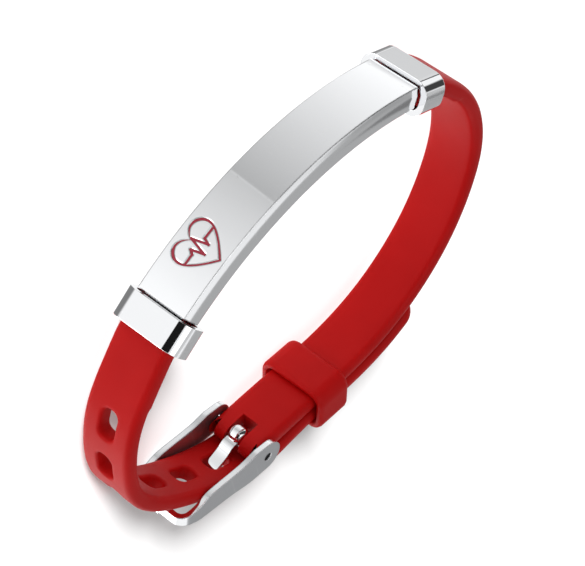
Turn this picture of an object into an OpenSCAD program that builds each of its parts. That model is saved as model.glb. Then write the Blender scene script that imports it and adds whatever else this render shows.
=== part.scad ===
// Medical alert bracelet: a curved steel plate, two end sleeves and a buckled silicone strap.
// It lies on its side, with the wrist opening along Z and the plate at +Y.

/* [Plate] */
// Width of the identity plate
plate_w = 10; // [8.5:0.1:11]
// Thickness of the plate
plate_t = 3.9; // [3:0.1:4.4]
// Radius of the plate's outer face
plate_r = 59; // [54:0.5:66]
// Length of the plate along its outer face
plate_l = 53; // [48:0.5:57]
// Width of the bevel on the long edges, seen from outside
bevel_w = 0.45; // [0.3:0.05:0.8]
// Drop of that bevel down the side
bevel_drop = 1.3; // [0.8:0.1:1.8]
// Length of the tang inside each sleeve
tang_l = 2.6; // [1.8:0.1:3.2]

/* [Emblem] */
// Height and width of the heart outline
emblem_size = 7.4; // [5:0.1:8]
// Distance of the heart's middle from the plate's end, along the outer face
emblem_from_end = 9.7; // [7:0.1:14]
// Width of the enamel line
line_w = 0.36; // [0.3:0.02:0.5]
// Depth of the enamel line
line_depth = 0.25; // [0.15:0.05:0.5]

/* [End sleeves] */
// Width of a sleeve
sleeve_w = 12.7; // [12:0.1:14]
// Height of a sleeve's section
sleeve_h = 6.3; // [5.8:0.1:7]
// Length of a sleeve
sleeve_l = 4.8; // [4:0.1:6.5]
// Wall of a sleeve
sleeve_wall = 1.05; // [0.7:0.05:1.2]
// How far a sleeve stands proud of the plate's outer face
sleeve_proud = 0.85; // [0.5:0.05:1.2]
// Corner radius of a sleeve's section
sleeve_round = 2.5; // [1.6:0.1:2.8]
// Turn of a sleeve towards the wrist, in degrees
sleeve_tilt = 3.5; // [0:0.5:6]
// Open gap between the plate's end and a sleeve's mouth
mouth_gap = 0.45; // [0.3:0.05:0.9]

/* [Straps] */
// Strap width at the sleeves
strap_w = 9.8; // [9:0.1:10.4]
// Strap width at the buckle and the tail
tail_w = 9.9; // [9:0.1:10.4]
// Strap thickness
strap_t = 2.7; // [2.4:0.05:2.9]
// Thickness of the buckle strap at the pin
pin_end_t = 3.1; // [2.9:0.05:3.6]
// Radius of the strap's rounded edges
edge_round = 1.15; // [0.7:0.05:1.18]
// Extra thickness of the root next to a sleeve
root_extra = 0.35; // [0.2:0.05:0.6]
// Length of the thick root
root_l = 9.5; // [6:0.5:12]
// Length of a strap hole
hole_l = 5.1; // [4.8:0.1:6]
// Width of a strap hole
hole_w = 3; // [2.8:0.1:3.4]
// Corner radius of a strap hole
hole_corner = 0.9; // [0.5:0.1:1.4]
// Distance between strap holes
hole_pitch = 8.6; // [7.5:0.1:9.5]
// Distance from the keeper's middle to the tip of the tail
tail_l = 24.6; // [16:0.2:28]

/* [Loop] */
// Outside width of the loop
loop_w = 83.6; // [80:0.2:88]
// Outside height of the loop, from the plate to the inner strap
loop_h = 60.8; // [57:0.2:65]
// Offset of the loop's middle from the plate's middle
loop_shift = -1.7; // [-3:0.1:0]

/* [Keeper] */
// Length of the keeper along the strap
keeper_l = 7; // [5:0.2:9]
// Wall of the keeper
keeper_wall = 1.3; // [0.8:0.05:1.5]
// Distance from the pin to the keeper's middle
keeper_from_pin = 15.8; // [13:0.2:17]

/* [Buckle] */
// Thickness of the buckle's arms
arm_t = 1; // [0.8:0.05:1.4]
// Radius of the arms' round ends
arm_end_r = 2.85; // [2.4:0.05:3.2]
// Height of the arms between their ends
arm_h = 5; // [4.2:0.1:5.4]
// Distance from the pin to the middle of the cross bar
buckle_l = 19.5; // [18.5:0.1:21]
// Thickness of the cross bar, along the strap
bar_t = 1; // [0.8:0.05:1.4]
// Height of the cross bar
bar_h = 1.7; // [1.5:0.1:2.6]
// Outer corner radius of the buckle, seen from the wrist
corner_r = 2.2; // [1.8:0.1:3]
// Diameter of the pin
pin_d = 1.3; // [1:0.05:1.4]
// Diameter of the pin holes in the arms
pin_hole_d = 1.6; // [1.5:0.05:1.9]
// Diameter of the tongue's eye
eye_d = 3.3; // [3:0.1:3.4]
// Width of the eye, along the pin
eye_w = 2.9; // [2.6:0.1:3]
// Rounding of the eye's rims
eye_round = 1.1; // [0.7:0.05:1.2]
// Height of the eye's middle above the pin's middle, towards the wrist
eye_up = 0.45; // [0.2:0.05:0.5]
// Width of the tongue
tongue_w = 2.3; // [1.8:0.05:2.4]
// Thickness of the tongue
tongue_t = 0.85; // [0.7:0.05:1]
// Width of the tongue's tip
tip_w = 1.6; // [1.1:0.05:1.7]
// Distance of the tongue from the middle of the strap's width
tongue_side = 0.2; // [0:0.05:0.3]
// Distance from the pin to the middle of the hole that the tongue uses
tongue_reach = 6.5; // [6:0.1:7.4]

/* [Clearances] */
// Gap between straps, and between a strap and steel
soft_gap = 0.3; // [0.2:0.05:0.4]
// Gap where steel and silicone fit together
fit_gap = 0.12; // [0.08:0.01:0.2]

/* [Hidden] */
$fn = 48;
steel = "#c9ccd0";
silicone = "#c0262b";
enamel = "#8c1f2f";

half_t = strap_t / 2;
plate_sweep = plate_l / plate_r * 180 / PI;
end_angle = plate_sweep / 2;
bottom_y = plate_r - loop_h + half_t;
// Distance between the middles of the two strap layers
layer = strap_t + soft_gap;

// A point of the loop from its shares: across, -1 to 1, and up from the inner strap, 0 to 1
function in_loop(share) = [loop_shift + share[0] * (loop_w - strap_t) / 2,
                           bottom_y + share[1] * (plate_r - bottom_y)];

// Plane vectors
function unit(v) = v / norm(v);
function left_of(v) = [-v[1], v[0]];
function last(list) = list[len(list) - 1];

// Cubic B-spline that passes close to its points and starts and ends on them
function blend(a, b, c, d, u) =
    (pow(1 - u, 3) * a + (3 * pow(u, 3) - 6 * u * u + 4) * b
     + (-3 * pow(u, 3) + 3 * u * u + 3 * u + 1) * c + pow(u, 3) * d) / 6;
function lifted(p) = [for (i = [0 : len(p) - 1])
    i == 0 || i == len(p) - 1 ? p[i] : p[i] - (p[i - 1] - 2 * p[i] + p[i + 1]) / 6];
function spline(p, n) =
    let (c = lifted(p), q = concat([2 * c[0] - c[1]], c, [2 * last(c) - c[len(c) - 2]]))
    concat([for (i = [0 : len(p) - 2], k = [0 : n - 1])
            blend(q[i], q[i + 1], q[i + 2], q[i + 3], k / n)], [last(p)]);

// Length along a polyline up to each of its points, and the point at a length
function lengths(p, i = 0, sum = 0) =
    i == len(p) - 1 ? [sum] : concat([sum], lengths(p, i + 1, sum + norm(p[i + 1] - p[i])));
function index_at(cum, s, low, high) =
    high - low <= 1 ? low
    : let (mid = floor((low + high) / 2))
      cum[mid] <= s ? index_at(cum, s, mid, high) : index_at(cum, s, low, mid);
function point_at(p, cum, s) =
    let (i = index_at(cum, s, 0, len(p) - 1), u = (s - cum[i]) / (cum[i + 1] - cum[i]))
    p[i] + u * (p[i + 1] - p[i]);
// Direction of travel at a length
reach = 0.6;
function heading(p, cum, s) = unit(point_at(p, cum, s + reach) - point_at(p, cum, s - reach));

// Frame of a plate end: side is -1 on the left and 1 on the right.
// Its first axis leaves the plate, its second points away from the wrist.
function end_point(side) = plate_r * [side * sin(end_angle), cos(end_angle)];
function end_axis(side) = [side * cos(end_angle + sleeve_tilt), -sin(end_angle + sleeve_tilt)];
function end_out(side) = [side * sin(end_angle + sleeve_tilt), cos(end_angle + sleeve_tilt)];
sleeve_mid = sleeve_proud - sleeve_h / 2;
exit_l = mouth_gap + sleeve_l;
function along_end(side, l) = end_point(side) + l * end_axis(side) + strap_seat * end_out(side);
// Level of the strap's middle inside a sleeve
strap_drop = 0.35;
strap_seat = sleeve_proud - sleeve_wall - fit_gap - strap_t / 2 - strap_drop;
plug_in = 1.2;

// Buckle strap, from the right sleeve round the right bend to the pin: shares of the loop
buckle_run = [
    // across, up
    [0.888, 0.734], [0.969, 0.616], [1, 0.489], [0.974, 0.365], [0.89, 0.248], [0.772, 0.147],
    [0.621, 0.07], [0.445, 0.019], [0.26, 0], [0.068, 0.007], [-0.125, 0.031], [-0.314, 0.0495],
    [-0.4105, 0.0573]];
buckle_points = [for (share = buckle_run) in_loop(share)];
pin = last(buckle_points);
pin_axis = unit(pin - buckle_points[len(buckle_run) - 2]);
end_l = 2.2;
samples = 6;
buckle_path = spline(concat([along_end(1, exit_l - plug_in), along_end(1, exit_l + plug_in)],
                            buckle_points, [pin + end_l * pin_axis]), samples);
buckle_cum = lengths(buckle_path);
buckle_total = last(buckle_cum);
pin_s = buckle_cum[(len(buckle_run) + 1) * samples];

// Hole strap: its own run round the left bend, then below the buckle strap
hole_run = [
    // across, up
    [-0.774, 0.772], [-0.915, 0.668], [-0.987, 0.535], [-1, 0.405], [-0.93, 0.282],
    [-0.765, 0.152], [-0.57, 0.043]];
// Row: which point of the buckle strap's run it passes, and the extra distance below it
lower_run = [
    // row from the end, share of the strap's thickness
    [0, 0.28], [1, 0.41], [2, 0.15], [3, 0.06], [4, 0.15], [5, 0.15], [6, 0.11]];
function run_out(i) = left_of(unit(buckle_points[i + 1] - buckle_points[i - 1]));
function below(back, extra) =
    let (i = len(buckle_run) - 1 - back)
    buckle_points[i] + (layer + extra * strap_t) * (back == 0 ? left_of(pin_axis) : run_out(i));
hole_points = concat([for (share = hole_run) in_loop(share)],
                     [for (row = lower_run) below(row[0], row[1])]);
hole_path = spline(concat([along_end(-1, exit_l - plug_in), along_end(-1, exit_l + plug_in)],
                          hole_points), samples);
hole_cum = lengths(hole_path);
// Lengths along the hole strap: below the pin, at the tongue's hole, and where it passes
// the point at which the arms aim
below_pin_s = hole_cum[(len(hole_run) + 2) * samples];
tongue_s = below_pin_s - tongue_reach;
aim_reach = 17.9;
aim_s = below_pin_s - aim_reach;
aim_gap = 1.1;
hole_total = below_pin_s + keeper_from_pin + tail_l;
arm_play = 0.15;
holes_before = 5;
holes_after = 2;

// Frames of the tongue's hole and the buckle
hole_mid = point_at(hole_path, hole_cum, tongue_s);
hole_dir = heading(hole_path, hole_cum, tongue_s);
hole_in = left_of(hole_dir);
aim = point_at(hole_path, hole_cum, aim_s)
    - (half_t + aim_gap) * left_of(heading(hole_path, hole_cum, aim_s));
buckle_w = tail_w + 2 * (arm_play + arm_t);
buckle_axis = unit(aim - pin);

// Keeper frame on the buckle strap
keeper_s = pin_s - keeper_from_pin;
keeper_mid = point_at(buckle_path, buckle_cum, keeper_s);
keeper_dir = heading(buckle_path, buckle_cum, keeper_s);
keeper_out = left_of(keeper_dir);
keeper_room = 0.2;
keeper_side_room = 0.35;
keeper_w = tail_w + 2 * (keeper_side_room + keeper_wall);
keeper_slack = 0.4;
keeper_round = 2;
keeper_inner_round = 1;
keeper_drop = layer + keeper_slack + half_t + keeper_room + keeper_wall;

// Middle of the whole, so that the origin is below it
low_y = min([for (side = [-1, 1])
             (keeper_mid + keeper_drop * keeper_out + side * keeper_l / 2 * keeper_dir)[1]]);
low_x = min([for (p = hole_path) p[0]]) - half_t;
high_x = max([for (p = buckle_path) p[0]]) + half_t;
whole_mid = [(low_x + high_x) / 2, (low_y + plate_r) / 2, -max(sleeve_w, keeper_w) / 2];

module placed() { translate(-whole_mid) children(); }

// Places children in the frame of a plate end
module at_end(side) {
    translate([end_point(side)[0], end_point(side)[1], 0])
        mirror([side < 0 ? 1 : 0, 0, 0]) rotate([0, 0, -(end_angle + sleeve_tilt)]) children();
}

// Rounded rectangle, centred, from squares and circles
module round_rect(w, h, r) {
    square([w - 2 * r, h], center = true);
    square([w, h - 2 * r], center = true);
    for (x = [-1, 1], y = [-1, 1])
        translate([x * (w / 2 - r), y * (h / 2 - r)]) circle(r);
}

// Extrudes a section (height, width) along the end frame's first axis
module along_axis(from, to) {
    translate([from, 0, 0]) rotate([90, 0, 90]) linear_extrude(to - from) children();
}

module plate_section() {
    half = plate_w / 2;
    foot = 0.35;
    polygon([[plate_r, -half + bevel_w], [plate_r, half - bevel_w], [plate_r - bevel_drop, half],
             [plate_r - plate_t + foot, half], [plate_r - plate_t, half - foot],
             [plate_r - plate_t, -half + foot], [plate_r - plate_t + foot, -half],
             [plate_r - bevel_drop, -half]]);
}

tang_h = 1.8;
tang_shoulder = 1.2;
tang_w = plate_w - 2 * tang_shoulder;
tang_root = 1.5;

module tang() {
    translate([-tang_root, strap_seat - tang_h / 2, -tang_w / 2])
        cube([tang_root + mouth_gap + tang_l, tang_h, tang_w]);
}

// Heart outline in shares of its size, right half from the bottom tip to the notch
heart_half = [
    // across, up
    [0, -0.5], [0.14, -0.37], [0.3, -0.2], [0.43, -0.02], [0.5, 0.16], [0.47, 0.33], [0.36, 0.44],
    [0.22, 0.46], [0.08, 0.38], [0, 0.26]];
// Pulse line in shares, from side to side
pulse = [
    // across, up
    [-0.5, 0.05], [-0.22, 0.05], [-0.15, 0.14], [-0.08, -0.16], [0.03, 0.28], [0.12, -0.1],
    [0.18, 0.05], [0.5, 0.05]];

module heart_area(size) {
    half = spline(heart_half, 4);
    count = len(half);
    polygon(size * concat(half, [for (i = [count - 2 : -1 : 1]) [-half[i][0], half[i][1]]]));
}

// The figure's flat shape, its lines wider by twice the given gap
module emblem_lines(gap) {
    w = line_w + 2 * gap;
    difference() {
        heart_area(emblem_size + w);
        heart_area(emblem_size - w);
    }
    intersection() {
        heart_area(emblem_size);
        for (i = [0 : len(pulse) - 2])
            let (a = emblem_size * pulse[i], b = emblem_size * pulse[i + 1], d = b - a)
            translate(a) rotate(atan2(d[1], d[0])) translate([-w / 2, -w / 2])
                square([norm(d) + w, w]);
    }
}

// The figure standing through the plate's outer face, its top towards the floor
module emblem_block(gap) {
    rotate([0, 0, (plate_l / 2 - emblem_from_end) / plate_r * 180 / PI]) translate([0, plate_r, 0])
        rotate([90, 0, 0]) mirror([0, 1, 0]) linear_extrude(plate_t, center = true) emblem_lines(gap);
}

module plate_shell(inner, outer) {
    rotate([0, 0, 90 - end_angle]) rotate_extrude(angle = plate_sweep)
        translate([inner, -plate_w / 2]) square([outer - inner, plate_w]);
}

module id_plate() {
    groove_gap = 0.03;
    color(steel) placed() {
        difference() {
            union() {
                rotate([0, 0, 90 - end_angle]) rotate_extrude(angle = plate_sweep) plate_section();
                for (side = [-1, 1]) at_end(side) tang();
            }
            intersection() {
                emblem_block(groove_gap);
                plate_shell(plate_r - line_depth - groove_gap, plate_r + 1);
            }
        }
    }
}

module emblem() {
    color(enamel) placed() intersection() {
        emblem_block(0);
        plate_shell(plate_r - line_depth, plate_r - 0.02);
    }
}

module ferrule(side) {
    color(steel) placed() at_end(side) translate([0, sleeve_mid, 0])
        along_axis(mouth_gap, exit_l) difference() {
            round_rect(sleeve_h, sleeve_w, sleeve_round);
            round_rect(sleeve_h - 2 * sleeve_wall, sleeve_w - 2 * sleeve_wall,
                       sleeve_round - sleeve_wall);
        }
}

module left_ferrule() { ferrule(-1); }
module right_ferrule() { ferrule(1); }

// Strap section: points round a rounded rectangle, from the outer face to the inner face
corner_steps = 4;
function ring(mid, inward, side, w, low, high, r) =
    [for (corner = [0 : 3], k = [0 : corner_steps])
        let (turn = corner * 90 + k * 90 / corner_steps,
             deep = (corner == 0 || corner == 3 ? high - r : low + r) + r * cos(turn),
             across = (corner < 2 ? 1 : -1) * (w / 2 - r) + r * sin(turn))
        [mid[0] + deep * inward[0], mid[1] + deep * inward[1], side * across]];

// Closed solid through rings that all have the same number of points
module loft(rings) {
    n = len(rings[0]);
    m = len(rings);
    points = [for (row = rings, p = row) p];
    sides = [for (i = [0 : m - 2], k = [0 : n - 1])
        let (a = i * n + k, b = i * n + (k + 1) % n, c = a + n, d = b + n)
        each [[a, c, b], [b, c, d]]];
    ends = [[for (k = [0 : n - 1]) k], [for (k = [n - 1 : -1 : 0]) (m - 1) * n + k]];
    polyhedron(points, concat(sides, ends));
}

ring_gap = 2.4;
root_blend = 0.9;
nose_drop = 1.2;
function share_of(s, from, to) = max(0, min(1, (s - from) / (to - from)));
function mix(a, b, u) = a + (b - a) * u;

// Rings of a strap: stations, and how wide the strap is and how far it is rounded off at each;
// drop is how far the inner face falls at the end
function strap_rings(path, cum, stations, taper_s, turn_in, end_s, end_round, end_t, drop) =
    [for (s = stations)
        let (mid = point_at(path, cum, s), dir = heading(path, cum, max(reach, min(end_s - 0.01, s))),
             inward = turn_in * left_of(dir),
             full = mix(strap_w, tail_w, share_of(s, 0, taper_s)),
             left = 1 - share_of(end_s - s, 0, end_round),
             w = full * max(0.35, sqrt(1 - left * left)),
             root = root_extra * (1 - share_of(s, plug_in + root_l, plug_in + root_l + root_blend)),
             more = (end_t - strap_t) / 2 * share_of(s, keeper_s, pin_s),
             thin = half_t / 3 * pow(left, 3),
             low = -half_t - more + thin,
             high = half_t + more + root - thin - drop * (1 - sqrt(1 - left * left)))
        ring(mid, inward, turn_in, w, low, high, min(edge_round, (high - low) / 2 - 0.02))];

// Stations: even ones, two at the end of the root, and close ones at the rounded end
function stations(end_s, end_round) =
    let (root_s = plug_in + root_l, free = end_s - end_round - root_s - root_blend,
         count = ceil(free / ring_gap))
    concat([for (k = [0 : 4]) root_s * k / 5], [root_s, root_s + root_blend],
           [for (k = [1 : count]) root_s + root_blend + free * k / count],
           [for (k = [1 : 6]) end_s - end_round * (1 - sin(15 * k))]);

// Part of a strap inside its sleeve, with a pocket for the tang
module plug(side) {
    play = sleeve_wall + fit_gap;
    at_end(side) translate([0, sleeve_mid, 0]) along_axis(mouth_gap + fit_gap, exit_l - fit_gap)
        round_rect(sleeve_h - 2 * play, sleeve_w - 2 * play, sleeve_round - play);
}

module tang_pocket(side) {
    at_end(side) translate([0, strap_seat - tang_h / 2 - fit_gap, -tang_w / 2 - fit_gap])
        cube([mouth_gap + tang_l + fit_gap, tang_h + 2 * fit_gap, tang_w + 2 * fit_gap]);
}

// Oblong hole through the hole strap, centred at a length along it
module strap_hole(s) {
    mid = point_at(hole_path, hole_cum, s);
    dir = heading(hole_path, hole_cum, s);
    translate([mid[0], mid[1], 0]) rotate([0, 0, atan2(dir[1], dir[0])]) rotate([90, 0, 0])
        linear_extrude(3 * strap_t, center = true) round_rect(hole_l, hole_w, hole_corner, $fn = 24);
}

module hole_strap() {
    end_round = 0.4 * tail_w;
    color(silicone) placed() difference() {
        union() {
            loft(strap_rings(hole_path, hole_cum, stations(hole_total, end_round), tongue_s, 1,
                             hole_total, end_round, strap_t, 0));
            plug(-1);
        }
        tang_pocket(-1);
        for (k = [-holes_before : holes_after]) strap_hole(tongue_s + k * hole_pitch);
    }
}

slot_l = 2.9;
slot_play = 0.15;

module buckle_strap() {
    slot_w = eye_w + 2 * slot_play;
    color(silicone) placed() difference() {
        union() {
            loft(strap_rings(buckle_path, buckle_cum, stations(buckle_total, end_l), pin_s, -1,
                             buckle_total, end_l, pin_end_t, nose_drop));
            plug(1);
        }
        tang_pocket(1);
        translate([pin[0], pin[1], 0]) {
            cylinder(h = 2 * strap_w, d = pin_d + 2 * fit_gap, center = true);
            rotate([0, 0, atan2(pin_axis[1], pin_axis[0])])
                translate([-slot_l, -strap_t, -tongue_side - slot_w / 2])
                    cube([slot_l + 2 * end_l, 2 * strap_t, slot_w]);
        }
    }
}

module keeper() {
    inner_h = layer + keeper_slack + strap_t + 2 * keeper_room;
    inner_w = keeper_w - 2 * keeper_wall;
    color(silicone) placed()
        translate([keeper_mid[0], keeper_mid[1], 0])
            rotate([0, 0, atan2(keeper_dir[1], keeper_dir[0])]) translate([0, (layer + keeper_slack) / 2, 0])
                rotate([90, 0, 90]) linear_extrude(keeper_l, center = true) difference() {
                    round_rect(inner_h + 2 * keeper_wall, inner_w + 2 * keeper_wall, keeper_round);
                    round_rect(inner_h, inner_w, keeper_inner_round);
                }
}

// Places children at the pin, with the first axis towards the cross bar
module at_pin() {
    translate([pin[0], pin[1], 0]) rotate([0, 0, atan2(buckle_axis[1], buckle_axis[0])]) children();
}

// Side outline of the buckle between the pin and the cross bar
arm_rows = [
    // share of the way, then edges near the wrist and away from it as shares of the arm's height
    [0.128, 0.59, 0.6], [0.205, 0.52, 0.61], [0.282, 0.45, 0.575], [0.41, 0.43, 0.5],
    [0.513, 0.424, 0.465], [0.667, 0.406, 0.44], [0.744, 0.32, 0.42], [0.81, 0.2, 0.4],
    [0.872, 0.16, 0.33], [0.94, 0.17, 0.22]];

module buckle_outline() {
    bar_end = buckle_l + bar_t;
    near = spline(concat([for (row = arm_rows) [row[0] * buckle_l, -row[1] * arm_h]],
                         [[bar_end, -bar_h / 2]]), 3);
    far = spline(concat([for (row = arm_rows) [row[0] * buckle_l, row[2] * arm_h]],
                        [[bar_end, bar_h / 2]]), 3);
    pin_end = [for (turn = [90 : 10 : 270]) arm_end_r * [cos(turn), sin(turn)]];
    polygon(concat(pin_end, near, [for (i = [len(far) - 1 : -1 : 0]) far[i]]));
}

// Plan outline with rounded corners at the bar: a square one behind the pin
module plan_outline(back, far_x, w, r) {
    translate([-back, -w / 2]) square([back + far_x - r, w]);
    translate([0, -w / 2 + r]) square([far_x, w - 2 * r]);
    for (side = [-1, 1]) translate([far_x - r, side * (w / 2 - r)]) circle(r);
}

module buckle_plan() {
    back = 2 * arm_end_r;
    far_x = buckle_l + bar_t / 2;
    difference() {
        plan_outline(back, far_x, buckle_w, corner_r);
        plan_outline(2 * back, far_x - bar_t, buckle_w - 2 * arm_t, corner_r - bar_t);
    }
}

module buckle_frame() {
    color(steel) placed() at_pin() difference() {
        intersection() {
            linear_extrude(buckle_w, center = true) buckle_outline();
            rotate([90, 0, 0]) linear_extrude(4 * arm_h, center = true) buckle_plan();
        }
        cylinder(h = 2 * buckle_w, d = pin_hole_d, center = true);
    }
}

module buckle_pin() {
    recess = 0.35;
    color(steel) placed() at_pin() cylinder(h = buckle_w - 2 * recess, d = pin_d, center = true);
}

// Band of even thickness along a line of points
function band(p, half) =
    let (n = len(p), side = [for (i = [0 : n - 1])
             half * left_of(unit(p[min(i + 1, n - 1)] - p[max(i - 1, 0)]))])
    concat([for (i = [0 : n - 1]) p[i] + side[i]], [for (i = [n - 1 : -1 : 0]) p[i] - side[i]]);

// Middle line of the tongue in the strap hole's frame
tongue_rows = [
    // towards the pin, share of the hole's length; towards the wrist, share of the strap's thickness
    [0.54, 1.29], [0.43, 0.99], [0.34, 0.69], [0.17, 0.34], [-0.03, -0.02], [-0.12, -0.3],
    [-0.22, -0.6], [-0.32, -0.8], [-0.5, -0.9], [-1.2, -0.97]];

// The tongue keeps its full width up to this row
wide_part = 7;
// Distance at which the tongue's middle line passes the pin, towards the wrist
eye_rise = 0.15;
// Distance of the eye's middle beyond the pin, along the strap
eye_ahead = 0.15;

// Round eye with soft rims, nearly a ball, a little higher than the pin
module tongue_eye() {
    middle = pin + eye_ahead * pin_axis + eye_up * [0, 1];
    translate([middle[0], middle[1], 0]) rotate_extrude($fn = 32) intersection() {
        translate([0, -eye_w / 2]) square([eye_d, eye_w]);
        round_rect(eye_d, eye_w, eye_round, $fn = 16);
    }
}

module buckle_tongue() {
    rest = pin + buckle_l * buckle_axis + (bar_h / 2 + soft_gap + tongue_t / 2) * left_of(buckle_axis);
    run = spline(concat([pin + [0, eye_rise]], [for (row = tongue_rows)
        hole_mid + row[0] * hole_l * hole_dir + row[1] * strap_t * hole_in], [rest]), 4);
    color(steel) placed() translate([0, 0, -tongue_side]) difference() {
        union() {
            linear_extrude(tip_w, center = true) polygon(band(run, tongue_t / 2));
            linear_extrude(tongue_w, center = true)
                polygon(band([for (i = [0 : wide_part * 4]) run[i]], tongue_t / 2));
            tongue_eye();
        }
        translate([pin[0], pin[1], 0])
            cylinder(h = 2 * tongue_w, d = pin_d + 2 * fit_gap, center = true);
    }
}

id_plate();
emblem();
left_ferrule();
right_ferrule();
hole_strap();
buckle_strap();
keeper();
buckle_frame();
buckle_pin();
buckle_tongue();
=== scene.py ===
"""Looks of a medical alert bracelet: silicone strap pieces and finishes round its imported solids."""
import math

import bmesh
import bpy
import numpy as np
from mathutils import Matrix, Vector


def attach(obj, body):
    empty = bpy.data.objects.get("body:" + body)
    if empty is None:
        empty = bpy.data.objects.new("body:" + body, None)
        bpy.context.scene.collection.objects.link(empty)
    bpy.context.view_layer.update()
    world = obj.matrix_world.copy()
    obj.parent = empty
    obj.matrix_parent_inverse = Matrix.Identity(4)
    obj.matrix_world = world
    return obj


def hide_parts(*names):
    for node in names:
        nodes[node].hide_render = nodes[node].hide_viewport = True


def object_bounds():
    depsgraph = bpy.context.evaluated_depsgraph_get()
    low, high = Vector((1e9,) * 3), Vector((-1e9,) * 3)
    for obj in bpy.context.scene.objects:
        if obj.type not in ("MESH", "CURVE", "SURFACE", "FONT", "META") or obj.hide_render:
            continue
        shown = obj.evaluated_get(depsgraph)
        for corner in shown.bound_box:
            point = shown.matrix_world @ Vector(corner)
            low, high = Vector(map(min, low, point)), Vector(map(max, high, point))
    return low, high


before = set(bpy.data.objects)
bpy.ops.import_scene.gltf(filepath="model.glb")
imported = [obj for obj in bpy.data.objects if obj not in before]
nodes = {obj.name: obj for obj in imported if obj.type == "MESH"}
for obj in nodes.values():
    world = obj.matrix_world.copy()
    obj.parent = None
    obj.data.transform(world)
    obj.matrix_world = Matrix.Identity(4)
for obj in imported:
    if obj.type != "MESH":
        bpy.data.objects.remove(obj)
cad_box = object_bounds()

MM = 0.001

# Plate and end sleeves; every length is in millimetres
plate_r = 59
plate_l = 53
sleeve_w = 12.7
sleeve_h = 6.3
sleeve_l = 4.8
sleeve_wall = 1.05
sleeve_proud = 0.85
sleeve_round = 2.5
sleeve_tilt = math.radians(3.5)
mouth_gap = 0.45
tang_l = 2.6
tang_h = 1.8
tang_w = 7.6
plug_back = 1.2
pocket_round = 0.2

# Straps
strap_w = 9.8
tail_w = 9.9
strap_t = 2.7
pin_end_t = 3.1
edge_round = 1.15
root_extra = 0.35
root_l = 9.5
root_blend = 0.9
plug_in = 1.2
strap_drop = 0.35
end_l = 2.2
hole_l = 5.1
hole_w = 3.0
hole_corner = 1.2
hole_lip = 0.5
hole_pitch = 8.6
holes_before = 5
holes_after = 2
tail_l = 24.6
tail_round = 0.4 * tail_w
slot_l = 2.9
slot_w = 3.2
slot_past_end = 3.0
slot_cutter_deep = 8
nose_drop = 1.2

# Loop, keeper and buckle
loop_w = 83.6
loop_h = 60.8
loop_shift = -1.7
keeper_l = 7.0
keeper_wall = 1.3
keeper_from_pin = 15.8
keeper_slack = 0.4
keeper_room = 0.2
keeper_side_room = 0.35
keeper_inner_round = 1.3
keeper_lip = 0.62
tongue_reach = 6.5
tongue_side = 0.2

# Gaps
soft_gap = 0.3
fit_gap = 0.12

# Steepest angle between faces that still shade as one, in degrees
soft_crease = 50
steel_crease = 28
bevel_crease = 35

# In metres: the gap at which points of a skin become one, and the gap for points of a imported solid
# and for the ends of the short edges that a skin still has
weld_distance = 2e-6
least_edge = 1e-6

half_t = strap_t / 2
layer = strap_t + soft_gap
end_angle = plate_l / plate_r / 2
bottom_y = plate_r - loop_h + half_t
exit_l = mouth_gap + sleeve_l
strap_seat = sleeve_proud - sleeve_wall - fit_gap - half_t - strap_drop


def in_loop(share):
    """A point of the loop from its shares: across, -1 to 1, and up from the inner strap, 0 to 1."""
    across = loop_shift + share[0] * (loop_w - strap_t) / 2
    return np.array([across, bottom_y + share[1] * (plate_r - bottom_y)])


def unit(v):
    return v / np.linalg.norm(v)


def left_of(v):
    return np.array([-v[1], v[0]])


def spline(points, per_span):
    """Points on a cubic B-spline that passes close to the given ones and starts and ends on them."""
    p = np.array(points, float)
    c = p.copy()
    c[1:-1] -= (p[:-2] - 2 * p[1:-1] + p[2:]) / 6
    q = np.vstack([2 * c[0] - c[1], c, 2 * c[-1] - c[-2]])
    u = np.arange(per_span) / per_span
    weights = np.stack([(1 - u) ** 3, 3 * u**3 - 6 * u**2 + 4,
                        -3 * u**3 + 3 * u**2 + 3 * u + 1, u**3], 1) / 6
    spans = [weights @ q[i:i + 4] for i in range(len(p) - 1)]
    return np.vstack(spans + [p[-1:]])


class Line:
    """A smooth line in the bracelet's plane, asked for by the length along it."""

    per_span = 24
    reach = 0.6

    def __init__(self, points):
        self.points = spline(points, self.per_span)
        steps = np.linalg.norm(np.diff(self.points, axis=0), axis=1)
        self.lengths = np.concatenate([[0], np.cumsum(steps)])
        self.total = self.lengths[-1]

    def length_at(self, index):
        """Length up to one of the given points."""
        return self.lengths[index * self.per_span]

    def at(self, s):
        return np.array([np.interp(s, self.lengths, self.points[:, k]) for k in (0, 1)])

    def heading(self, s):
        """Direction of the line, measured over a short reach to both sides."""
        s = min(max(s, self.reach), self.total - self.reach)
        return unit(self.at(s + self.reach) - self.at(s - self.reach))


def sleeve_axes(side):
    """The plate's corner and a sleeve's two directions: side is -1 on the left and 1 on the right."""
    tilt = end_angle + sleeve_tilt
    corner = plate_r * np.array([side * math.sin(end_angle), math.cos(end_angle)])
    axis = np.array([side * math.cos(tilt), -math.sin(tilt)])
    out = np.array([side * math.sin(tilt), math.cos(tilt)])
    return corner, axis, out


def along_end(side, reach):
    """A point of a strap's line inside the sleeve, at a distance from the plate's corner."""
    corner, axis, out = sleeve_axes(side)
    return corner + reach * axis + strap_seat * out


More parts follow.
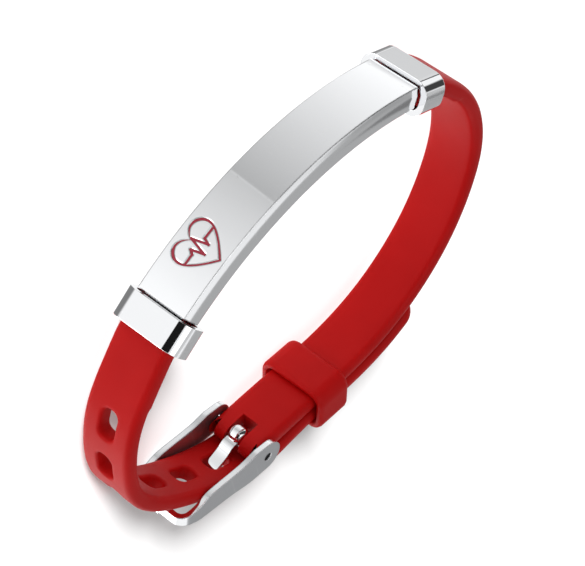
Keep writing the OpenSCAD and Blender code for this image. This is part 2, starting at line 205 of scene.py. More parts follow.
# Buckle strap, from the right sleeve round the right bend to the pin: shares across and up the loop
buckle_run = [(0.888, 0.734), (0.969, 0.616), (1, 0.489), (0.974, 0.365), (0.89, 0.248),
              (0.772, 0.147), (0.621, 0.07), (0.445, 0.019), (0.26, 0), (0.068, 0.007),
              (-0.125, 0.031), (-0.314, 0.0495), (-0.4105, 0.0573)]
buckle_points = [in_loop(share) for share in buckle_run]
pin = buckle_points[-1]
pin_axis = unit(pin - buckle_points[-2])
buckle_line = Line([along_end(1, exit_l - plug_in), along_end(1, exit_l + plug_in)]
                   + buckle_points + [pin + end_l * pin_axis])
pin_s = buckle_line.length_at(len(buckle_run) + 1)

# Hole strap: round the left bend, then below the buckle strap
hole_run = [(-0.774, 0.772), (-0.915, 0.668), (-0.987, 0.535), (-1, 0.405), (-0.93, 0.282),
            (-0.765, 0.152), (-0.57, 0.043)]
# Row: which point of the buckle strap it passes, counted back from the pin, and the distance that
# it keeps beyond the plain layer there, in strap thicknesses
lower_run = [(0, 0.28), (1, 0.41), (2, 0.15), (3, 0.06), (4, 0.15), (5, 0.15), (6, 0.11)]


def below(back, extra):
    """A point of the hole strap below one of the buckle strap's."""
    i = len(buckle_points) - 1 - back
    if back == 0:
        out = left_of(pin_axis)
    else:
        out = left_of(unit(buckle_points[i + 1] - buckle_points[i - 1]))
    return buckle_points[i] + (layer + extra * strap_t) * out


hole_line = Line([along_end(-1, exit_l - plug_in), along_end(-1, exit_l + plug_in)]
                 + [in_loop(share) for share in hole_run]
                 + [below(back, extra) for back, extra in lower_run])
below_pin_s = hole_line.length_at(len(hole_run) + 2)
tongue_s = below_pin_s - tongue_reach
hole_total = below_pin_s + keeper_from_pin + tail_l

# The solids' box is centred on the origin, so its size gives the place of the loop's own plane
low_x = hole_line.points[:, 0].min() - half_t
high_x = buckle_line.points[:, 0].max() + half_t
middle = np.array([(low_x + high_x) / 2, plate_r - cad_box[1].y / MM])
middle_z = cad_box[1].z / MM / 2


def in_frame(point, across):
    """From the loop's plane, in millimetres, to the row frame, in metres."""
    x, y = point - middle
    return (x * MM, y * MM, (across + middle_z) * MM)


class Skin:
    """Collects grids of points and becomes one mesh object, welded where the grids meet."""

    def __init__(self):
        self.points = []
        self.faces = []

    def grid(self, rows, closed=False):
        """Faces between rows of as many points each; closed joins the rows' ends."""
        base = len(self.points)
        n = len(rows[0])
        for row in rows:
            self.points.extend(row)
        turns = n if closed else n - 1
        for i in range(len(rows) - 1):
            for k in range(turns):
                a = base + i * n + k
                b = base + i * n + (k + 1) % n
                self.faces.append((a, b, b + n, a + n))

    def cap(self, row):
        """One face over a closed row."""
        base = len(self.points)
        self.points.extend(row)
        self.faces.append(tuple(range(base, base + len(row))))

    def object(self, name, smooth_angle):
        """The mesh object, shaded smooth up to an angle in degrees."""
        mesh = bpy.data.meshes.new(name)
        mesh.from_pydata(self.points, [], self.faces)
        bm = bmesh.new()
        bm.from_mesh(mesh)
        bmesh.ops.remove_doubles(bm, verts=bm.verts, dist=weld_distance)
        bmesh.ops.dissolve_degenerate(bm, edges=bm.edges, dist=least_edge)
        bmesh.ops.recalc_face_normals(bm, faces=bm.faces)
        bm.to_mesh(mesh)
        bm.free()
        mesh.polygons.foreach_set("use_smooth", [True] * len(mesh.polygons))
        mesh.set_sharp_from_angle(angle=math.radians(smooth_angle))
        obj = bpy.data.objects.new(name, mesh)
        bpy.context.scene.collection.objects.link(obj)
        return obj


def share_of(s, start, end):
    """How far s is from start to end, kept between 0 and 1."""
    return min(1.0, max(0.0, (s - start) / (end - start)))


def rounded_side(t, half_length, half_width, r):
    """A point of a rounded rectangle's upper side; t runs from -1 to 1 between the corners' middles."""
    straight = half_length - r
    d = t * (straight + r * math.pi / 4)
    if abs(d) <= straight:
        return d, half_width
    turn = (abs(d) - straight) / r
    x = straight + r * math.sin(turn)
    return math.copysign(x, d), half_width - r + r * math.cos(turn)


def rounded_ring(half_length, half_width, r, per_length, per_width):
    """Points round a rounded rectangle, and the matching points round the square of side 2."""
    ring, square = [], []
    for quarter in range(4):
        count = per_length if quarter % 2 == 0 else per_width
        sizes = (half_length, half_width) if quarter % 2 == 0 else (half_width, half_length)
        for k in range(count):
            t = 2 * k / count - 1
            x, y = rounded_side(t, *sizes, r)
            a, b = t, 1.0
            for _ in range(quarter):
                x, y = y, -x
                a, b = b, -a
            ring.append((x, y))
            square.append((a, b))
    return ring, square


class Strap:
    """A strap's skin along a line: flat faces with oblong holes, round edges and a rounded tip.

    turn_in is 1 where the wrist lies on the line's left and -1 on its right. The strap widens up
    to taper_s, and thickens from thick_from to the pin. end_round is the length of its rounded end.
    """

    column_gap = 0.75
    across_steps = 10
    edge_steps = 10
    cell_steps = 20
    lip_steps = 4
    flat_steps = 4
    tip_steps = 10
    plug_steps = 8
    # Above 1, the rows between a stretch's outline and its hole's lip crowd towards the lip
    crowding = 1.3
    # Rows down a hole's wall, as shares of its depth
    wall_shares = (0, 0.33, 0.67, 1)

    def __init__(self, line, turn_in, total, taper_s, end_round, thick_from=None):
        self.line = line
        self.turn_in = turn_in
        self.total = total
        self.taper_s = taper_s
        self.end_round = end_round
        self.thick_from = thick_from
        self.skin = Skin()

    def place(self, s, across, deep):
        """A point by its length along the strap, its distance across it and its depth inwards."""
        inward = self.turn_in * left_of(self.line.heading(s))
        over = max(0.0, s - self.line.total)
        point = self.line.at(s) + deep * inward + over * self.line.heading(s)
        return in_frame(point, self.turn_in * across)

    def half_flat(self, s):
        """Half the width of the flat face at a length along the strap."""
        full = strap_w + (tail_w - strap_w) * share_of(s, 0, self.taper_s)
        return full / 2 - edge_round

    def depths(self, s):
        """Depths of the outer and the inner face, towards the wrist."""
        root = root_extra * (1 - share_of(s, plug_in + root_l, plug_in + root_l + root_blend))
        more = 0.0
        if self.thick_from is not None:
            more = (pin_end_t - strap_t) / 2 * share_of(s, self.thick_from, pin_s)
        return -half_t - more, half_t + more + root

    def edge_profile(self, s):
        """The round edge's section at a length: how far out and how deep, from outside to inside."""
        low, high = self.depths(s)
        for turn in np.linspace(0, math.pi, self.edge_steps + 1):
            drop = edge_round * (1 - abs(math.cos(turn)))
            yield edge_round * math.sin(turn), low + drop if turn < math.pi / 2 else high - drop

    def edges(self, columns):
        """Both round edges; a column is (s, half width, edge normal)."""
        for side in (-1, 1):
            self.skin.grid([[self.place(s + ns * out, side * (half + na * out), deep)
                             for out, deep in self.edge_profile(s)]
                            for s, half, (ns, na) in columns])

    def flat(self, columns):
        """Both flat faces, with their round edges."""
        ts = np.linspace(-1, 1, self.across_steps + 1)
        for face in (0, 1):
            self.skin.grid([[self.place(s, t * half, self.depths(s)[face]) for t in ts]
                            for s, half, _ in columns])
        self.edges(columns)

    def columns(self, start, end, count):
        """Columns at even steps, square to the strap's line."""
        return [(s, self.half_flat(s), (0, 1)) for s in np.linspace(start, end, count + 1)]

    def plain(self, start, end):
        """A plain stretch."""
        count = max(1, math.ceil((end - start) / self.column_gap))
        self.flat(self.columns(start, end, count))

    def root(self, end):
        """The thicker root beyond the sleeve, its step down, and the plain stretch up to the end."""
        stops = [0, plug_in + root_l, plug_in + root_l + root_blend, end]
        for start, stop in zip(stops, stops[1:]):
            self.plain(start, stop)

    def hole(self, middle_s, cell):
        """One stretch of the strap with an oblong hole in its middle."""
        count, wide = self.cell_steps, self.across_steps
        half = self.half_flat(middle_s)

        def outline(offset):
            return rounded_ring(hole_l / 2 + offset, hole_w / 2 + offset, hole_corner + offset,
                                count, wide)

        lip, square = outline(hole_lip)
        rings = []
        for step in range(self.flat_steps + 1):
            u = (1 - step / self.flat_steps) ** self.crowding
            rings.append(([(a + (c * cell / 2 - a) * u, b + (d * half - b) * u)
                           for (a, b), (c, d) in zip(lip, square)], 0.0))
        for step in range(1, self.lip_steps + 1):
            turn = math.pi / 2 * step / self.lip_steps
            ring, _ = outline(hole_lip * (1 - math.sin(turn)))
            rings.append((ring, hole_lip * (1 - math.cos(turn))))
        for face in (0, 1):
            sign = 1 if face == 0 else -1
            self.skin.grid([[self.place(middle_s + x, y, self.depths(middle_s + x)[face] + sign * deep)
                             for x, y in ring] for ring, deep in rings], closed=True)
        wall, _ = outline(0)
        rows = []
        for share in self.wall_shares:
            row = []
            for x, y in wall:
                low, high = self.depths(middle_s + x)
                deep = low + hole_lip + share * (high - low - 2 * hole_lip)
                row.append(self.place(middle_s + x, y, deep))
            rows.append(row)
        self.skin.grid(rows, closed=True)
        self.edges(self.columns(middle_s - cell / 2, middle_s + cell / 2, count))

    def tip(self):
        """The rounded end: the flat face closes as half an ellipse."""
        start = self.total - self.end_round
        length = self.end_round - edge_round
        half = self.half_flat(start)
        columns = []
        for turn in np.linspace(0, math.pi / 2, self.tip_steps + 1):
            normal = unit(np.array([half * math.sin(turn), length * math.cos(turn)]))
            columns.append((start + length * math.sin(turn), half * math.cos(turn), tuple(normal)))
        self.flat(columns)

    def plug(self, side):
        """The strap's part inside its sleeve, hollow round the plate's tang."""
        play = sleeve_wall + fit_gap
        corner, axis, out = sleeve_axes(side)
        level = sleeve_proud - sleeve_h / 2

        def ring(reach, half_h, half_w, r, rise):
            points, _ = rounded_ring(half_h, half_w, r, self.plug_steps, self.plug_steps)
            return [in_frame(corner + reach * axis + (rise + a) * out, b) for a, b in points]

        outer = (sleeve_h / 2 - play, sleeve_w / 2 - play, sleeve_round - play, level)
        inner = (tang_h / 2 + fit_gap, tang_w / 2 + fit_gap, pocket_round, strap_seat)
        start = mouth_gap + fit_gap + plug_back
        pocket = mouth_gap + tang_l + fit_gap
        self.skin.grid([ring(exit_l - fit_gap, *outer), ring(start, *outer), ring(start, *inner),
                        ring(pocket, *inner)], closed=True)
        self.skin.cap(ring(pocket, *inner))
        self.skin.cap(ring(exit_l - fit_gap, *outer))


def hole_strap_skin():
    """The long strap: its root, the stretches with a hole each, the plain tail and the tip."""
    strap = Strap(hole_line, 1, hole_total, tongue_s, tail_round)
    middles = [tongue_s + k * hole_pitch for k in range(-holes_before, holes_after + 1)]
    strap.root(middles[0] - hole_pitch / 2)
    for middle_s in middles:
        strap.hole(middle_s, hole_pitch)
    strap.plain(middles[-1] + hole_pitch / 2, hole_total - tail_round)
    strap.tip()
    strap.plug(-1)
    return strap.skin.object("holed_strap", soft_crease)


def cutter(name, skin):
    """An object that is only there to cut."""
    obj = skin.object(name, steel_crease)
    obj.hide_render = True
    return obj


def box_skin(middle_point, along, half_l, half_d, half_w, across):
    """A plain box along a direction of the loop's plane, used only to cut."""
    skin = Skin()
    normal = left_of(along)
    corners = [(-1, -1), (1, -1), (1, 1), (-1, 1)]
    rows = [[in_frame(middle_point + a * half_l * along + b * half_d * normal, across + z * half_w)
             for a, b in corners] for z in (-1, 1)]
    skin.grid(rows, closed=True)
    skin.cap(rows[0])
    skin.cap(rows[1])
    return skin


def cut(obj, cutters, smooth_angle):
    """Applies exact cuts to an object's mesh and removes the cutters."""
    for tool in cutters:
        modifier = obj.modifiers.new("cut", "BOOLEAN")
        modifier.operation = "DIFFERENCE"
        modifier.solver = "EXACT"
        modifier.object = tool
    graph = bpy.context.evaluated_depsgraph_get()
    mesh = bpy.data.meshes.new_from_object(obj.evaluated_get(graph))
    obj.modifiers.clear()
    obj.data = mesh
    mesh.polygons.foreach_set("use_smooth", [True] * len(mesh.polygons))
    mesh.set_sharp_from_angle(angle=math.radians(smooth_angle))
    for tool in cutters:
        bpy.data.objects.remove(tool)


def buckle_strap_skin():
    """The strap with the buckle; its end is a nose that slopes down towards the hole strap."""
    nose_steps = 24
    start = buckle_line.total - end_l
    strap = Strap(buckle_line, -1, buckle_line.total, pin_s, end_l, thick_from=pin_s - keeper_from_pin)
    strap.root(start)
    half = strap.half_flat(start)
    low, high = strap.depths(start)
    tip_deep = (low + high - nose_drop) / 2

    def nose(deep):
        """How far the sloping nose reaches at a depth."""
        room = tip_deep - low if deep < tip_deep else high - tip_deep
        return end_l * math.sqrt(max(0.0, 1 - ((deep - tip_deep) / room) ** 2))

    rows = []
    for turn in np.linspace(0, math.pi, nose_steps + 1):
        room = tip_deep - low if turn < math.pi / 2 else high - tip_deep
        deep = tip_deep - room * math.cos(turn)
        rows.append([strap.place(start + nose(deep), t * half, deep)
                     for t in np.linspace(-1, 1, strap.across_steps + 1)])
    strap.skin.grid(rows)
    for side in (-1, 1):
        strap.skin.grid([[strap.place(start + reach, side * (half + out), deep)
                          for reach in (0.0, nose(deep))]
                         for out, deep in strap.edge_profile(start)])
    strap.plug(1)
    return strap.skin.object("pinned_strap", soft_crease)


def keeper_skin():
    """A closed band round both strap layers, with soft lips at its two rims."""
    inner_h = layer + keeper_slack + strap_t + 2 * keeper_room
    inner_w = tail_w + 2 * keeper_side_room
    keeper_s = pin_s - keeper_from_pin
    mid = buckle_line.at(keeper_s)
    along = buckle_line.heading(keeper_s)
    out = left_of(along)
    centre = mid + (layer + keeper_slack) / 2 * out
    section, _ = rounded_ring(keeper_l / 2, keeper_wall / 2, keeper_lip, per_length=12, per_width=8)
    rows = []
    for ahead, off in section:
        offset = keeper_wall / 2 + off
        ring, _ = rounded_ring(inner_h / 2 + offset, inner_w / 2 + offset,
                               keeper_inner_round + offset, per_length=24, per_width=32)
        rows.append([in_frame(centre + ahead * along + a * out, b) for a, b in ring])
    skin = Skin()
    skin.grid(rows + rows[:1], closed=True)
    return skin.object("strap_keeper", soft_crease)


# Materials


def shader_group(name, inputs, outputs):
    """A shader node group with named inputs (name, default) and outputs (name, kind)."""
    group = bpy.data.node_groups.new(name, "ShaderNodeTree")
    for label, default in inputs:
        socket = group.interface.new_socket(name=label, in_out="INPUT", socket_type="NodeSocketFloat")
        socket.default_value = default
    for label, kind in outputs:
        group.interface.new_socket(name=label, in_out="OUTPUT", socket_type=kind)
    return group


def add(tree, kind, inputs=None, **settings):
    """A node of a kind, with its settings and its inputs' values or links."""
    node = tree.nodes.new(kind)
    for key, value in settings.items():
        setattr(node, key, value)
    for key, value in (inputs or {}).items():
        socket = node.inputs[key]
        if isinstance(value, bpy.types.NodeSocket):
            tree.links.new(value, socket)
        else:
            socket.default_value = value
    return node


def math_node(tree, operation, a, b=None, clamp=False):
    node = tree.nodes.new("ShaderNodeMath")
    node.operation = operation
    node.use_clamp = clamp
    for index, value in enumerate((a, b)):
        if value is None:
            continue
        if isinstance(value, bpy.types.NodeSocket):
            tree.links.new(value, node.inputs[index])
        else:
            node.inputs[index].default_value = value
    return node.outputs[0]


def scaled(tree, value, factor):
    """A value times a factor."""
    return math_node(tree, "MULTIPLY", value, factor)


def map_range(tree, value, low, high, to_low, to_high):
    node = add(tree, "ShaderNodeMapRange", {0: value, 1: low, 2: high, 3: to_low, 4: to_high})
    return node.outputs[0]


def make_fine_wear():
    """Hairline scratches and faint smudges of polished metal."""
    group = shader_group("fine_wear", [("Scratch size", 900.0), ("Smudge size", 120.0)],
                         [("Scratches", "NodeSocketFloat"), ("Smudges", "NodeSocketFloat")])
    start = group.nodes.new("NodeGroupInput")
    end = group.nodes.new("NodeGroupOutput")
    place = group.nodes.new("ShaderNodeTexCoord")
    scratch_turns = (0.3, 1.4, 2.4)
    tip_x, tip_y = 0.2, 0.1
    drawn_out = (1.0, 0.04, 1.0)
    scratch_starts, scratch_full = 0.66, 0.72
    lines = []
    for turn in scratch_turns:
        spin = add(group, "ShaderNodeMapping",
                   {"Vector": place.outputs["Object"], "Rotation": (tip_x, tip_y, turn),
                    "Scale": drawn_out})
        noise = add(group, "ShaderNodeTexNoise",
                    {"Vector": spin.outputs[0], "Scale": start.outputs["Scratch size"],
                     "Detail": 2.0, "Roughness": 0.5})
        lines.append(map_range(group, noise.outputs[0], scratch_starts, scratch_full, 0.0, 1.0))
    both = math_node(group, "MAXIMUM", lines[0], lines[1])
    every = math_node(group, "MAXIMUM", both, lines[2])
    smudge = add(group, "ShaderNodeTexNoise",
                 {"Vector": place.outputs["Object"], "Scale": start.outputs["Smudge size"],
                  "Detail": 3.0, "Roughness": 0.55})
    group.links.new(every, end.inputs["Scratches"])
    group.links.new(smudge.outputs[0], end.inputs["Smudges"])
    return group


def make_soft_grain():
    """Mould grain and faint cloudy tones of satin silicone."""
    group = shader_group("soft_grain", [("Grain size", 5200.0), ("Cloud size", 90.0)],
                         [("Grain", "NodeSocketFloat"), ("Clouds", "NodeSocketFloat")])
    start = group.nodes.new("NodeGroupInput")
    end = group.nodes.new("NodeGroupOutput")
    place = group.nodes.new("ShaderNodeTexCoord")
    grain = add(group, "ShaderNodeTexNoise",
                {"Vector": place.outputs["Object"], "Scale": start.outputs["Grain size"],
                 "Detail": 3.0, "Roughness": 0.6})
    clouds = add(group, "ShaderNodeTexNoise",
                 {"Vector": place.outputs["Object"], "Scale": start.outputs["Cloud size"],
                  "Detail": 2.0, "Roughness": 0.5})
    group.links.new(grain.outputs[0], end.inputs["Grain"])
    group.links.new(clouds.outputs[0], end.inputs["Clouds"])
    return group


fine_wear = make_fine_wear()
soft_grain = make_soft_grain()


def new_material(name):
    """A material with one Principled shader, still at its default values."""
    material = bpy.data.materials.new(name)
    material.use_nodes = True
    tree = material.node_tree
    tree.nodes.clear()
    shader = tree.nodes.new("ShaderNodeBsdfPrincipled")
    out = tree.nodes.new("ShaderNodeOutputMaterial")
    tree.links.new(shader.outputs[0], out.inputs["Surface"])
    return material, tree, shader


def steel(name, colour, satin_colour, roughness, satin_roughness, satin_sides=0.0, rounding=0.0):
    """Polished steel; satin_sides brushes the faces that look along the wrist's axis.

    rounding softens the look of the edges, in millimetres.
    """
    side_starts, side_full = 0.9, 0.97
    scratch_tint, scratch_roughness, scratch_height = 0.12, 0.05, -0.2
    smudge_starts, smudge_full, smudge_roughness = 0.35, 0.7, 0.03
    brush_size, brush_draw, brush_height = 6000.0, (1.0, 1.0, 0.05), 0.6
    material, tree, shader = new_material(name)
    wear = add(tree, "ShaderNodeGroup", node_tree=fine_wear)
    scratches = wear.outputs["Scratches"]
    smudge = map_range(tree, wear.outputs["Smudges"], smudge_starts, smudge_full, 0.0, 1.0)
    place = tree.nodes.new("ShaderNodeTexCoord")
    axis = add(tree, "ShaderNodeSeparateXYZ", {0: place.outputs["Normal"]})
    flat = math_node(tree, "ABSOLUTE", axis.outputs["Z"])
    sides = map_range(tree, flat, side_starts, side_full, 0.0, satin_sides)
    tint = add(tree, "ShaderNodeMix", {"Factor": sides, "A": colour, "B": satin_colour},
               data_type="RGBA")
    rubbed = add(tree, "ShaderNodeMix", {"Factor": scaled(tree, scratches, scratch_tint),
                                         "A": tint.outputs["Result"], "B": (1.0, 1.0, 1.0, 1.0)},
                 data_type="RGBA")
    base = math_node(tree, "ADD", map_range(tree, sides, 0.0, 1.0, roughness, satin_roughness),
                     scaled(tree, smudge, smudge_roughness))
    rough = math_node(tree, "ADD", base, scaled(tree, scratches, scratch_roughness))
    stretch = add(tree, "ShaderNodeMapping", {"Vector": place.outputs["Object"], "Scale": brush_draw})
    brushed = add(tree, "ShaderNodeTexNoise", {"Vector": stretch.outputs[0], "Scale": brush_size,
                                               "Detail": 2.0})
    strokes = math_node(tree, "MULTIPLY", brushed.outputs[0], scaled(tree, sides, brush_height))
    height = math_node(tree, "ADD", strokes, scaled(tree, scratches, scratch_height))
    bump = add(tree, "ShaderNodeBump", {"Height": height, "Strength": 0.08, "Distance": 0.1 * MM})
    if rounding:
        soft = add(tree, "ShaderNodeBevel", {"Radius": rounding * MM}, samples=6)
        tree.links.new(soft.outputs[0], bump.inputs["Normal"])
    shader.inputs["Metallic"].default_value = 1.0
    tree.links.new(rubbed.outputs["Result"], shader.inputs["Base Color"])
    tree.links.new(rough, shader.inputs["Roughness"])
    tree.links.new(bump.outputs[0], shader.inputs["Normal"])
    return material


def silicone(name):
    """Satin red silicone that lets a little light in."""
    deep_red, light_red = (0.51, 0.002, 0.002, 1.0), (0.57, 0.004, 0.004, 1.0)
    tone_starts, tone_full = 0.3, 0.7
    least_rough, grain_rough = 0.42, 0.14
    material, tree, shader = new_material(name)
    grain = add(tree, "ShaderNodeGroup", node_tree=soft_grain)
    tone = map_range(tree, grain.outputs["Clouds"], tone_starts, tone_full, 0.0, 1.0)
    colour = add(tree, "ShaderNodeMix", {"Factor": tone, "A": deep_red, "B": light_red},
                 data_type="RGBA")
    rough = math_node(tree, "ADD", least_rough, scaled(tree, grain.outputs["Grain"], grain_rough))
    bump = add(tree, "ShaderNodeBump", {"Height": grain.outputs["Grain"], "Strength": 0.12,
                                        "Distance": 0.05 * MM})
    tree.links.new(colour.outputs["Result"], shader.inputs["Base Color"])
    tree.links.new(rough, shader.inputs["Roughness"])
    tree.links.new(bump.outputs[0], shader.inputs["Normal"])
    shader.inputs["Subsurface Weight"].default_value = 0.15
    shader.inputs["Subsurface Radius"].default_value = (1.0, 0.12, 0.08)
    shader.inputs["Subsurface Scale"].default_value = 1.2 * MM
    shader.inputs["Specular IOR Level"].default_value = 0.13
    return material


def enamel(name):
    """Dark red enamel with a faint unevenness."""
    deep_red, light_red = (0.34, 0.01, 0.03, 1.0), (0.44, 0.016, 0.045, 1.0)
    material, tree, shader = new_material(name)
    grain = add(tree, "ShaderNodeGroup", {"Cloud size": 900.0}, node_tree=soft_grain)
    colour = add(tree, "ShaderNodeMix", {"Factor": grain.outputs["Clouds"], "A": deep_red,
                                         "B": light_red}, data_type="RGBA")
    tree.links.new(colour.outputs["Result"], shader.inputs["Base Color"])
    shader.inputs["Roughness"].default_value = 0.25
    return material


bright_steel = (0.92, 0.93, 0.945, 1)
plate_steel = steel("plate_polish", bright_steel, (0.86, 0.87, 0.89, 1), roughness=0.03,
                    satin_roughness=0.12, satin_sides=0.5, rounding=0.35)
sleeve_steel = steel("sleeve_polish", bright_steel, (0.9, 0.91, 0.93, 1), roughness=0.04,
                     satin_roughness=0.2, satin_sides=1.0, rounding=0.12)
buckle_steel = steel("buckle_polish", bright_steel, (0.6, 0.61, 0.63, 1), roughness=0.06,
                     satin_roughness=0.34, satin_sides=1.0, rounding=0.3)
pin_steel = steel("pin_steel", (0.25, 0.25, 0.26, 1), (0.06, 0.06, 0.065, 1), roughness=0.2,
                  satin_roughness=0.5, satin_sides=1.0)
red_silicone = silicone("red_silicone")
dark_enamel = enamel("dark_enamel")


def paint(obj, material):
    obj.data.materials.clear()
    obj.data.materials.append(material)


def welded_edges_group(angle):
    """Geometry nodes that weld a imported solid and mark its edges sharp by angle."""
    group = bpy.data.node_groups.new("welded_edges", "GeometryNodeTree")
    group.interface.new_socket(name="Geometry", in_out="INPUT", socket_type="NodeSocketGeometry")
    group.interface.new_socket(name="Geometry", in_out="OUTPUT", socket_type="NodeSocketGeometry")
    start = group.nodes.new("NodeGroupInput")
    end = group.nodes.new("NodeGroupOutput")
    plain = add(group, "GeometryNodeRemoveAttribute", {"Geometry": start.outputs[0],
                                                       "Name": "custom_normal"})
    weld = add(group, "GeometryNodeMergeByDistance", {"Geometry": plain.outputs[0],
                                                      "Distance": least_edge})
    smooth = add(group, "GeometryNodeSetShadeSmooth", {"Geometry": weld.outputs[0],
                                                       "Shade Smooth": True}, domain="FACE")
    bend = group.nodes.new("GeometryNodeInputMeshEdgeAngle")
    steep = add(group, "FunctionNodeCompare", {0: bend.outputs[0], 1: math.radians(angle)},
                data_type="FLOAT", operation="GREATER_THAN")
    sharp = add(group, "GeometryNodeSetShadeSmooth", {"Geometry": smooth.outputs[0],
                                                      "Selection": steep.outputs[0],
                                                      "Shade Smooth": False}, domain="EDGE")
    group.links.new(sharp.outputs[0], end.inputs[0])
    return group


welded = welded_edges_group(steel_crease)


def dress(name, material, bevel=0.0):
    """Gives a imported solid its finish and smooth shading, and a small round on its edges if asked."""
    obj = nodes[name]
    paint(obj, material)
    weld = obj.modifiers.new("weld", "NODES")
    weld.node_group = welded
    if bevel:
        rounded = obj.modifiers.new("edges", "BEVEL")
        rounded.width = bevel * MM
        rounded.segments = 3
        rounded.limit_method = "ANGLE"
        rounded.angle_limit = math.radians(bevel_crease)
        rounded.harden_normals = True
    shade = obj.modifiers.new("shade", "WEIGHTED_NORMAL")
    shade.keep_sharp = True


dress("id_plate", plate_steel)
dress("emblem", dark_enamel)
for sleeve in ("left_ferrule", "right_ferrule"):
    dress(sleeve, sleeve_steel)
dress("buckle_frame", buckle_steel)
dress("buckle_pin", pin_steel, bevel=0.1)
dress("buckle_tongue", sleeve_steel)


def soft_piece(obj, node):
    """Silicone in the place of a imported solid."""
    paint(obj, red_silicone)
    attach(obj, "root")
    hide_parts(node)


holed_strap = hole_strap_skin()
soft_piece(holed_strap, "hole_strap")
pinned_strap = buckle_strap_skin()
slot_middle = pin + (end_l - slot_l + slot_past_end) / 2 * pin_axis
slot_box = box_skin(slot_middle, pin_axis, (slot_l + end_l + slot_past_end) / 2, slot_cutter_deep / 2,
                    slot_w / 2, -tongue_side)
cut(pinned_strap, [cutter("slot_cutter", slot_box)], soft_crease)
soft_piece(pinned_strap, "buckle_strap")
keeper = keeper_skin()
soft_piece(keeper, "keeper")

# Studio: floor, lights and the camera


def make_floor():
    """A wide pale floor, left out of reflections, with a faint pinkish glow that keeps it near white
    and paints a pink tint into its shadows in place of red light bounced off the silicone.
    """
    mesh = bpy.data.meshes.new("floor")
    half = 3.0
    mesh.from_pydata([(-half, -half, 0), (half, -half, 0), (half, half, 0), (-half, half, 0)], [],
                     [(0, 1, 2, 3)])
    floor = bpy.data.objects.new("floor", mesh)
    bpy.context.scene.collection.objects.link(floor)
    material, tree, shader = new_material("pale_floor")
    shader.inputs["Base Color"].default_value = (0.9, 0.9, 0.9, 1)
    shader.inputs["Roughness"].default_value = 0.9
    shader.inputs["Specular IOR Level"].default_value = 0.0
    # Pinkish glow: painted red bounce light that tints the floor's shadows pink
    shader.inputs["Emission Color"].default_value = (1, 0.9, 0.9, 1)
    shader.inputs["Emission Strength"].default_value = 0.05
    mesh.materials.append(material)
    floor.visible_glossy = False
    return floor


# Soft-edged cards of light that the steel and the silicone reflect. Row: a name, for where the card
# stands or what shows it in the photograph's view; the azimuth from +X and the elevation of its
# middle, its half sizes and its soft edge, all in degrees; and its brightness at its low and its
# high azimuth. A later card lies in front of the earlier ones.
studio_cards = [
    # name, azimuth, elevation, half_azimuth, half_elevation, edge, low_end, high_end
    ("ring above", 0, 72, 200, 14, 8.0, 0.6, 0.6),
    ("ring below", 0, -71, 200, 29, 18.0, 0.22, 0.22),
    ("low down on the right", -24, -42, 20, 12, 6.0, 0.1, 0.5),
    ("left half of the plate", 100, -26, 24, 16, 0.7, 0.6, 1.1),
    ("strap below the left sleeve", 155, -26, 24, 16, 4.0, 1.2, 4.0),
    ("right half of the plate", 41.3, -26, 35.3, 16, 0.7, 1.15, 0.47),
    ("face of the right sleeve", 4, -26, 8.5, 16, 1.0, 0.62, 0.8),
    ("corner of the left sleeve", 128, 26, 30, 34, 2.0, 0.01, 0.01),
    ("left bend of the strap", -142, -25, 30, 25, 8.0, 5.5, 1.6),
    ("band in the left bend", -143.4, -26, 6, 10, 2.0, 0.3, 0.3),
    ("edge of the plate's face, middle", 68, 5.5, 52, 10, 1.0, 0.08, 0.12),
    ("edge of the plate's face, low", 55, -7.5, 66, 3, 1.0, 0.05, 0.05),
    ("edge of the plate's face, high", 39, 38, 59, 22, 5.0, 0.05, 0.05),
    ("bevel of the plate", -52, 57, 26, 10, 2.0, 1.0, 0.7),
    ("flat sides that look up", -72, 22, 30, 26, 4.0, 0.42, 0.42),
    ("end of the right sleeve", -38.5, 24.5, 20.5, 11.5, 1.0, 0.2, 0.2),
    ("bevel of the plate, right end", -36, 44, 18, 9, 6.0, 0.36, 0.36),
]
# Light in the gaps between the cards, and the light that every ray but a glossy one meets
open_light = 0.99
plain_light = 0.4


def card_group():
    """A soft-edged card of light seen in a direction: its mask and its brightness."""
    labels = ["azimuth", "elevation", "half_azimuth", "half_elevation", "edge", "low_end", "high_end",
              "seen_azimuth", "seen_elevation", "behind"]
    group = shader_group("studio_card", [(label, 0.0) for label in labels],
                         [("Light", "NodeSocketFloat")])
    start = group.nodes.new("NodeGroupInput").outputs
    end = group.nodes.new("NodeGroupOutput")
    masks = []
    for kind in ("azimuth", "elevation"):
        away = math_node(group, "ABSOLUTE", math_node(group, "SUBTRACT", start["seen_" + kind],
                                                      start[kind]))
        room = math_node(group, "SUBTRACT", start["half_" + kind], away)
        masks.append(math_node(group, "DIVIDE", room, start["edge"], clamp=True))
    mask = math_node(group, "MULTIPLY", masks[0], masks[1])
    low = math_node(group, "SUBTRACT", start["azimuth"], start["half_azimuth"])
    high = math_node(group, "ADD", start["azimuth"], start["half_azimuth"])
    light = add(group, "ShaderNodeMapRange", {0: start["seen_azimuth"], 1: low, 2: high,
                                              3: start["low_end"], 4: start["high_end"]})
    mixed = add(group, "ShaderNodeMix", {"Factor": mask, "A": start["behind"], "B": light.outputs[0]})
    group.links.new(mixed.outputs["Result"], end.inputs["Light"])
    return group


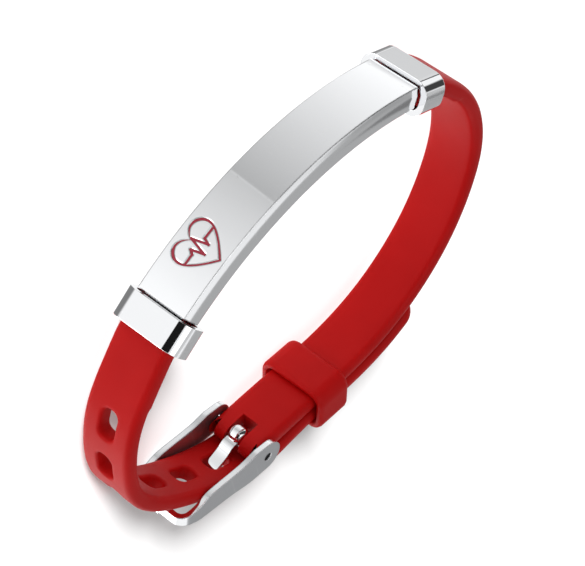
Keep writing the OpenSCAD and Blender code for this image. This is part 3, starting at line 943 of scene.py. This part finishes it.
def make_world():
    """Even light all round; glossy surfaces see the studio's cards in it."""
    world = bpy.data.worlds.new("studio")
    bpy.context.scene.world = world
    world.use_nodes = True
    tree = world.node_tree
    tree.nodes.clear()
    place = tree.nodes.new("ShaderNodeTexCoord")
    axis = add(tree, "ShaderNodeSeparateXYZ", {0: place.outputs["Generated"]})
    azimuth = math_node(tree, "DEGREES", math_node(tree, "ARCTAN2", axis.outputs["Y"],
                                                   axis.outputs["X"]))
    elevation = math_node(tree, "DEGREES", math_node(tree, "ARCSINE", axis.outputs["Z"]))
    light = None
    group = card_group()
    for name, *sizes in studio_cards:
        card = add(tree, "ShaderNodeGroup", node_tree=group, label=name)
        for socket, value in zip(card.inputs, sizes):
            socket.default_value = value
        tree.links.new(azimuth, card.inputs["seen_azimuth"])
        tree.links.new(elevation, card.inputs["seen_elevation"])
        if light is None:
            card.inputs["behind"].default_value = open_light
        else:
            tree.links.new(light, card.inputs["behind"])
        light = card.outputs[0]
    path = tree.nodes.new("ShaderNodeLightPath")
    seen = add(tree, "ShaderNodeMix", {"Factor": path.outputs["Is Glossy Ray"], "A": plain_light,
                                       "B": light})
    back = add(tree, "ShaderNodeBackground", {"Color": seen.outputs["Result"]})
    out = tree.nodes.new("ShaderNodeOutputWorld")
    tree.links.new(back.outputs[0], out.inputs["Surface"])


def area_light(name, place, aim, size, power):
    """A square light that looks at a point."""
    data = bpy.data.lights.new(name, "AREA")
    data.size = size
    data.energy = power
    light = bpy.data.objects.new(name, data)
    light.location = place
    light.rotation_euler = (Vector(aim) - Vector(place)).to_track_quat("-Z", "Y").to_euler()
    bpy.context.scene.collection.objects.link(light)
    return light


# Camera: the photograph's place and turn towards the bracelet, found from its edges
camera_place = Vector((-116.44, 285.71, 150.11)) * MM
camera_aim = Vector((0.36, 1.76, 6.6)) * MM
camera_roll = math.radians(124.73)
camera_lens = 134.68
sensor_w = 36.0


def make_camera():
    data = bpy.data.cameras.new("camera")
    data.sensor_width = sensor_w
    data.lens = camera_lens
    camera = bpy.data.objects.new("camera", data)
    look = (camera_aim - camera_place).to_track_quat("-Z", "Y").to_matrix().to_4x4()
    turn = Matrix.Rotation(camera_roll, 4, "Z")
    camera.matrix_world = Matrix.Translation(camera_place) @ look @ turn
    bpy.context.scene.collection.objects.link(camera)
    bpy.context.scene.camera = camera
    data.clip_start = 0.01
    data.clip_end = 10


def collection_of(name, objects):
    collection = bpy.data.collections.new(name)
    for obj in objects:
        collection.objects.link(obj)
    return collection


# Low lamp: where it stands, its spread in degrees and its power
lamp_azimuth = 97
lamp_elevation = 22
lamp_spread = 12
lamp_power = 7.2

# Key light over the bracelet, in metres and watts
key_place = (-0.1, 0.25, 0.7)
key_size = 0.6
key_power = 1.0


def floor_shadow(floor, blockers):
    """A low wide lamp that reaches the floor alone, for the soft shadow beyond the buckle."""
    data = bpy.data.lights.new("low_lamp", "SUN")
    data.energy = lamp_power
    data.angle = math.radians(lamp_spread)
    lamp = bpy.data.objects.new("low_lamp", data)
    azimuth = math.radians(lamp_azimuth)
    elevation = math.radians(lamp_elevation)
    towards = Vector((math.cos(azimuth) * math.cos(elevation), math.sin(azimuth) * math.cos(elevation),
                      math.sin(elevation)))
    lamp.rotation_euler = (-towards).to_track_quat("-Z", "Y").to_euler()
    bpy.context.scene.collection.objects.link(lamp)
    lamp.light_linking.receiver_collection = collection_of("lit_by_low_lamp", [floor])
    lamp.light_linking.blocker_collection = collection_of("shades_low_lamp", blockers)


floor = make_floor()
make_world()
soft_pieces = [holed_strap, pinned_strap, keeper]
key = area_light("key", key_place, (0, 0, 0), key_size, key_power)
key.light_linking.receiver_collection = collection_of("lit_by_key", soft_pieces + list(nodes.values()))
floor_shadow(floor, [holed_strap, keeper, nodes["buckle_frame"]])
make_camera()
bpy.context.scene.view_settings.view_transform = "Standard"
